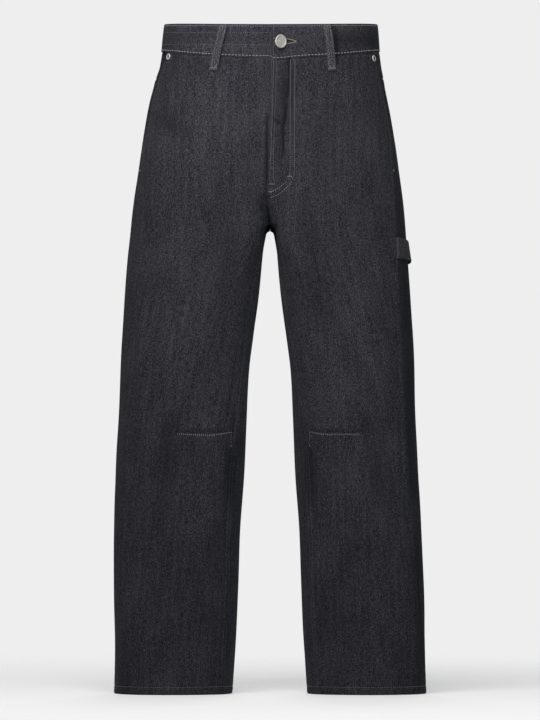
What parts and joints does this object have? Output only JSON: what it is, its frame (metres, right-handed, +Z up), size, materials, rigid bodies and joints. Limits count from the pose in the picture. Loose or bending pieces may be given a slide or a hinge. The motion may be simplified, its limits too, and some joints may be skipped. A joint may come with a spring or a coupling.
{
  "type": "baggy jeans",
  "caption": "Baggy straight-leg denim trousers with a work cut, hollow as worn, open at the waist and hems, with belt loops, a hammer loop and knee darts.",
  "frame": {"origin": "middle of the waistband, halfway between its front and back, where the wearer holds the trousers up", "axes": "+Z up the body, -Y out of the front with the fly, +X towards the wearer's left"},
  "size_m": [0.4681, 0.2589, 1.006],
  "materials": {
    "denim": "raw dark navy denim with a fine vertical slub, matt",
    "trim_metal": "aged pale silver, satin"
  },
  "bodies": {
    "root": {"waistband": "denim", "front_left": "denim", "front_right": "denim", "front_leg_left": "denim", "front_leg_right": "denim", "back_left": "denim", "back_right": "denim", "back_leg_left": "denim", "back_leg_right": "denim", "yoke_left": "denim", "yoke_right": "denim", "pocket_facing_left": "denim", "pocket_facing_right": "denim", "back_pocket_left": "denim", "back_pocket_right": "denim", "fly_shield": "denim", "belt_loop_front_left": "denim", "belt_loop_front_right": "denim", "belt_loop_back_left": "denim", "belt_loop_back_right": "denim", "belt_loop_back_centre": "denim", "hammer_loop": "denim", "button": "trim_metal", "rivet_left": "trim_metal", "rivet_right": "trim_metal"}
  },
  "joints": []
}
